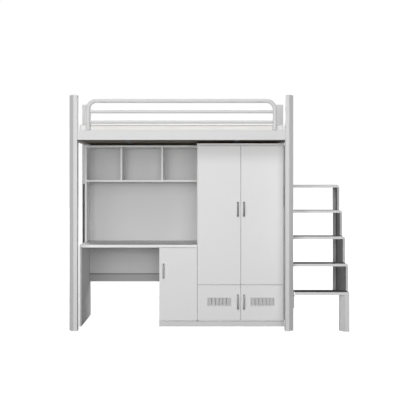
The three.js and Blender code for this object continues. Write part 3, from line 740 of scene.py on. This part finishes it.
# The hutch top is a brighter copy of the white board: painted light.
painted_light_white = laminate("hutch_top_painted_light", 0.98, 0.0)
painted(painted_light_white, "hutch_top")
# The plinth is a darker copy of the white board: painted shade.
plinth_painted_shade = laminate("plinth_board_painted_shade", 0.74, 0.0)
painted(plinth_painted_shade, "plinth")
painted(board_white, "hutch_side_panel", "hutch_shelf", "hutch_divider_1", "hutch_divider_2")
painted(board_white, "wardrobe_side_left", "wardrobe_side_right", "wardrobe_top")
painted(board_white, "wardrobe_bottom", "wardrobe_middle_shelf")

# The backs are thinner board. They, the knee board and the rail below it are darker copies of the
# white board: painted shade in the recesses.
back_painted_shade = laminate("back_board_painted_shade", 0.63, 0.0)
painted(back_painted_shade, "hutch_back_panel", "pedestal_back", "wardrobe_back")
knee_painted_shade = laminate("knee_board_painted_shade", 0.58, 0.0)
painted(knee_painted_shade, "desk_back_panel")
rear_rail_painted_shade = laminate("rear_rail_board_painted_shade", 0.42, 0.0)
painted(rear_rail_painted_shade, "desk_rear_rail")


# ---- Joint strip behind the desk ----
# A thin dark strip lies over the seam between the desk's rear panel and the rail below it, flat on
# both: a dark piece that stands in as painted shade.
knee_low, knee_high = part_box("desk_back_panel")
seam_rail_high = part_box("desk_rear_rail")[1]
strip_half = 0.0045
strip_proud = 0.0012
strip_gap = 0.0001
strip_low = (knee_low.x, knee_low.y - strip_proud, seam_rail_high.z - strip_half)
strip_high = (knee_high.x, knee_low.y - strip_gap, knee_low.z + strip_half)
painted_shade_strip = rounded_slab(strip_low, strip_high, 0.0004, 0.0004, 3, 3)
new_piece("desk_back_painted_shade_strip", [painted_shade_strip], dark_plastic, "frame")


# ---- Shade strips ----
# Black strips are put in the gaps between the cabinets and the frame as painted shade. One lies along
# the tops, under the rear rail, and one is stuck up the wardrobe's right side, behind the front post.
robe_top_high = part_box("wardrobe_top")[1]
shade_black = moulded("painted_shade_black", 0.035, 0.0, 0.85)
shade_strip_gap = 0.0005
shade_strip_depth = 0.012
side_shade_gap = 0.0025
side_shade_width = 0.010
shade_strip_inset = 0.008
hutch_top_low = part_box("hutch_top")[0]
shade_strip_back = robe_top_high.y - shade_strip_inset
# A black strip under the rear rail: painted shade.
rear_shade_strip = rounded_slab(
    (hutch_top_low.x, shade_strip_back - shade_strip_depth, robe_top_high.z + shade_strip_gap),
    (robe_top_high.x, shade_strip_back, rail_low.z - shade_strip_gap),
    0.002, 0.001, 3, 3,
)
robe_low, robe_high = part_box("wardrobe_side_right")
side_shade_strip = rounded_slab(
    (robe_high.x + side_shade_gap, robe_low.y + shade_strip_gap, robe_low.z),
    (robe_high.x + side_shade_width, robe_low.y + shade_strip_depth, robe_high.z),
    0.001, 0.001, 3, 3,
)
new_piece("cabinet_painted_shade_strips", [rear_shade_strip, side_shade_strip], shade_black, "frame")


# ---- Shade strip on the rear post ----
# A black strip stands on the rear left post's front face as painted shade. It runs from under the desk
# up to the hutch's shelf.
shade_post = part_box("post_rear_left")[0]
shade_edge = 0.009
shade_width = 0.028
shade_depth = 0.012
shade_gap = 0.0002
shelf_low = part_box("hutch_shelf")[0]
shade_ends = (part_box("desk_top")[0].z - 0.05, shelf_low.z - 0.02)
shade_left = shade_post.x + shade_edge
post_shade_strip = rounded_slab(
    (shade_left, shade_post.y - shade_depth, shade_ends[0]),
    (shade_left + shade_width, shade_post.y - shade_gap, shade_ends[1]),
    0.002, 0.002, 4, 3,
)
post_shade_black = moulded("post_painted_shade_black", 0.075, 0.0, 0.5)
new_piece("post_painted_shade_strip", [post_shade_strip], post_shade_black, "frame")


# ---- Screw caps ----
# The boards are joined by screws through their sides. A thin white plastic cap is pressed into
# each screw's head.
cap_rise = [[0.0065, 0.0], [0.0065, 0.0004], [0.0058, 0.0009], [0.0010, 0.0011]]


def cover_cap(middle, axis, out):
    """A thin plastic cap over a joining screw, standing off the board by its shallow rise."""
    profile = np.array(cap_rise) * [1, out]
    return turned(middle, axis, profile if out > 0 else profile[::-1])


cap_inset = 0.060
hutch_cap_inset = 0.045
shelf_cap_rise = 0.009
end_cap_inset = 0.012
hutch_low, hutch_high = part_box("hutch_side_panel")
hutch_depths = (hutch_low.y + hutch_cap_inset, hutch_high.y - hutch_cap_inset)
hutch_heights = (shelf_low.z + shelf_cap_rise, hutch_high.z - end_cap_inset)
caps = [cover_cap((hutch_low.x, y, z), 0, -1) for y in hutch_depths for z in hutch_heights]
robe_depths = (robe_low.y + cap_inset, robe_high.y - cap_inset)
middle_low, middle_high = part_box("wardrobe_middle_shelf")
robe_middle = (middle_low.z + middle_high.z) / 2
robe_heights = (robe_low.z + end_cap_inset, robe_middle, robe_high.z - end_cap_inset)
caps += [cover_cap((robe_high.x, y, z), 0, 1) for y in robe_depths for z in robe_heights]
board_caps = moulded("white_cap_plastic", 0.66, 0.0, 0.4)
new_piece("screw_caps", caps, board_caps, "frame")


# ---- Wardrobe hanging rail and pivots ----
# The hanging rail is a nickel-plated steel tube held in a flanged cup at each end. Three steel rods
# pass down the doors' hinge edges, through a flat strip between them.
painted(nickel, "pivot_rod_left", "pivot_rod_right", "pivot_rod_pedestal", "pivot_strip")
bar_low, bar_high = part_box("hanging_rail")
bar_radius = (bar_high.z - bar_low.z) / 2
bar_middle = (bar_low + bar_high) / 2
cup_flange = [[0.025, 0.0], [0.025, 0.002], [0.019, 0.003]]
cup_mouth = [[0.0175, 0.012], [0.0165, 0.0125], [0.0128, 0.0125]]
cup_rise = np.array(cup_flange + cup_mouth)
rail_path = np.array([[x, bar_middle.y, bar_middle.z] for x in (bar_low.x, bar_high.x)])
left_cup = turned(rail_path[0], 0, cup_rise)
right_cup = turned(rail_path[1], 0, (cup_rise * [1, -1])[::-1])
rod_and_cups = [tube(rail_path, bar_radius, (0, 1, 0)), left_cup, right_cup]
hanging = new_piece("hanging_rail_and_cups", rod_and_cups, nickel, "frame")
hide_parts("hanging_rail")


# ---- Doors ----
# Four wardrobe doors and the small one beside the desk are the same melamine board in a brighter
# white. Each turns on a steel rod through its hinge edge.
door_white = laminate("white_door_melamine", 0.86, 0.0)
doors = {
    "upper_door_left": "door_upper_left",
    "upper_door_right": "door_upper_right",
    "lower_door_left": "door_lower_left",
    "lower_door_right": "door_lower_right",
    "small_door": "pedestal_door",
}
painted(door_white, *doors.values())


# ---- Handles ----
# Each is a bow of nickel-plated bar bent square, with a small round foot at both ends that stands
# on the door's face.
handles = {
    "upper_door_left": "handle_upper_left",
    "upper_door_right": "handle_upper_right",
    "lower_door_left": "handle_lower_left",
    "lower_door_right": "handle_lower_right",
    "small_door": "pedestal_handle",
}
bow_radius = 0.007
bow_bend = 0.011
foot_radius = 0.009
foot_neck = [[0.0078, -0.0045], [0.0080, -0.0036], [0.0087, -0.0030]]
foot_rise = foot_neck + [[foot_radius, -0.0024], [foot_radius, 0.0]]


def bow_handle(low, high):
    """A round bar carried along a square bow, with a turned foot where it meets the door."""
    x = (low.x + high.x) / 2
    ends = (low.z + foot_radius, high.z - foot_radius)
    reach = low.y + bow_radius
    legs = ((high.y, ends[0]), (reach, ends[0]), (reach, ends[1]), (high.y, ends[1]))
    corners = np.array([[x, y, z] for y, z in legs])
    bow = tube(rounded_path(corners, bow_bend, 9), bow_radius, (1, 0, 0), 20)
    return [bow] + [turned((x, high.y, z), 1, foot_rise) for z in ends]


# The lower and small door handles take a paler copy of the same nickel as the upper ones: painted
# light.
nickel_painted_light = brushed_metal("satin_nickel_painted_light", 0.56, 0.38, 2)
for body, node_name in handles.items():
    plating = nickel if body.startswith("upper") else nickel_painted_light
    bow = new_piece(node_name + "_bow", bow_handle(*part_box(node_name)), plating, body, 50)
    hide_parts(node_name)


# ---- Ventilation grilles ----
# A moulded grey frame with a rounded lip is pressed into each lower door. Flat upright slats stand
# across it in threes, with a wider gap between one three and the next.
vent_grey = moulded("grey_vent_plastic", 0.70, 0.0, 0.42)
vents = {"lower_door_left": "vent_left", "lower_door_right": "vent_right"}
lip_width = 0.009
lip_rise = 0.0015
slat_count = 18
slat_thickness = 0.0094
slats_together = 3
slat_drawn_in = 0.0012
slat_setback = 0.0012
slat_overlap = 0.001


def vent_slats(low, high):
    """Flat slats side by side: the same strip moved on by one pitch, and drawn in to the middle of
    its own three so that a wider gap parts them from the next."""
    inner = [low.x + lip_width, high.x - lip_width]
    pitch = (inner[1] - inner[0]) / slat_count
    foot, head = low.z + lip_width - slat_overlap, high.z - lip_width + slat_overlap
    strip_low = np.array([-slat_thickness / 2, low.y + slat_setback, foot])
    strip_high = np.array([slat_thickness / 2, high.y - slat_overlap, head])
    corner = rounded_slab(strip_low, strip_high, 0.0012, 0.0002, 3, 2)
    order = np.arange(slat_count)
    drawn_in = (1 - order % slats_together) * slat_drawn_in
    centres = inner[0] + pitch * (order + 0.5) + drawn_in
    return [corner + [x, 0, 0] for x in centres]


def vent_frame(low, high):
    """A closed frame: a rounded section carried round the opening's four sides, from the lip's
    outer edge over its crown to the sleeve inside the door."""
    half_x, half_z = (high.x - low.x) / 2, (high.z - low.z) / 2
    steps = 6
    deepest = high.y - low.y
    crown = [[0.0, lip_rise], [0.0004, 0.0005], [0.0012, 0.0]]
    crown += [[lip_width - 0.0012, 0.0], [lip_width - 0.0002, 0.0008]]
    sleeve = [[lip_width, deepest], [lip_width - 0.0020, deepest], [lip_width - 0.0045, lip_rise]]
    section = np.array(crown + sleeve)
    inset, depth = section.T[:, :, None]
    plan = rounded_rectangle(half_x - inset, half_z - inset, np.maximum(0.004 - inset, 0.0006), steps)
    deep = low.y + depth + 0 * plan[..., :1][..., 0]
    middle = np.array([(low.x + high.x) / 2, (low.z + high.z) / 2])
    flat = plan + middle
    return np.stack([flat[..., 0], deep, flat[..., 1]], axis=-1)


for body, node_name in vents.items():
    low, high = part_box(node_name)
    slats = vent_slats(low, high)
    grille = new_piece(node_name + "_slats", slats, vent_grey, body)
    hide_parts(node_name)
    rim = [vent_frame(low, high)]
    new_piece(node_name + "_frame", rim, vent_grey, body, 40, looped=True)


# ---- Stairs ----
# Five treads of folded steel sheet are fixed between a flat stringer by the bed and a pressed side
# sheet, on a leg like the posts. Ribbed rubber mats are glued on top of the treads.
tread_names = [f"stair_tread_{k}" for k in range(1, 6)]
stair_white = powder_coat("stair_white_coat", 0.785, -0.002, grey(0.60, 0.01), 0.40)
painted(stair_white, *tread_names)
painted(steel_white, "stair_leg")
# The inner stringer is a grey copy of the white coat: painted shade.
stringer_painted_shade = powder_coat("stringer_painted_shade_coat", 0.50, -0.002, grey(0.45, 0.01), 0.42)
painted(stringer_painted_shade, "stair_inner_stringer")
# The side sheet is painted darker towards the back and darker still on its inner face: painted shade.
painted_shade_coat("stair_side_painted_shade_coat", "stair_side_panel", (0.66, 0.32), (0.24, 0.02), "X", -1.0)

rubber, start = new_finish("ribbed_rubber")
where = place_on(start)
ridges = {"Vector": where, "Scale": 32.0}
ribs = start.node("ShaderNodeTexWave", {"bands_direction": "Y"}, ridges, "Fac")
dust = noise(start, where, 24.0, 5.0, 0.7)
grit = noise(start, where, 1300.0, 2.0)
rounded, edge = softened_edges(start, 0.001)
body_colour = blended(start, dust, grey(0.060, -0.02), grey(0.095, -0.02))
worn = blended(start, edge * 0.4 + ribs * dust * 0.25, body_colour, grey(0.16, 0.0))
relief = bumped(start, ribs + grit * 0.15, 0.0006, 0.7, rounded)
looks = {"Base_Color": worn, "Roughness": 0.62 + dust * 0.2, "Normal": relief}
surfaced(rubber, start, Specular_IOR_Level=0.3, **looks)

mat_thickness = 0.0016
mat_inset = 0.006
mat_corner = 0.006
bend_inset = 0.020


def tread_mat(name):
    """A thin rubber sheet on a tread's flat top, clear of the bend at its outer end."""
    low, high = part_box(name)
    flat_right = high.x - (bend_inset if name != "stair_tread_1" else mat_inset)
    mat_low = (low.x + mat_inset, low.y + mat_inset, high.z)
    mat_high = (flat_right, high.y - mat_inset, high.z + mat_thickness)
    return rounded_slab(mat_low, mat_high, mat_corner, 0.0005, 6, 3)


new_piece("tread_mats", [tread_mat(name) for name in tread_names], rubber, "frame")

step_bolts = []
step_bolt_gap = 0.0004
step_bolt_drop = 0.012
step_bolt_inset = 0.045
step_bolt_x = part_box("stair_inner_stringer")[1].x + step_bolt_gap
step_bolt_edge = [[0.008, 0.0], [0.0078, 0.0012], [0.006, 0.0026]]
step_bolt_rise = step_bolt_edge + [[0.003, 0.0032], [0.0008, 0.0033]]
for name in tread_names:
    low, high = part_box(name)
    for y in (low.y + step_bolt_inset, high.y - step_bolt_inset):
        step_bolts.append(turned((step_bolt_x, y, low.z - step_bolt_drop), 0, step_bolt_rise))
new_piece("stringer_bolts", step_bolts, nickel, "frame")
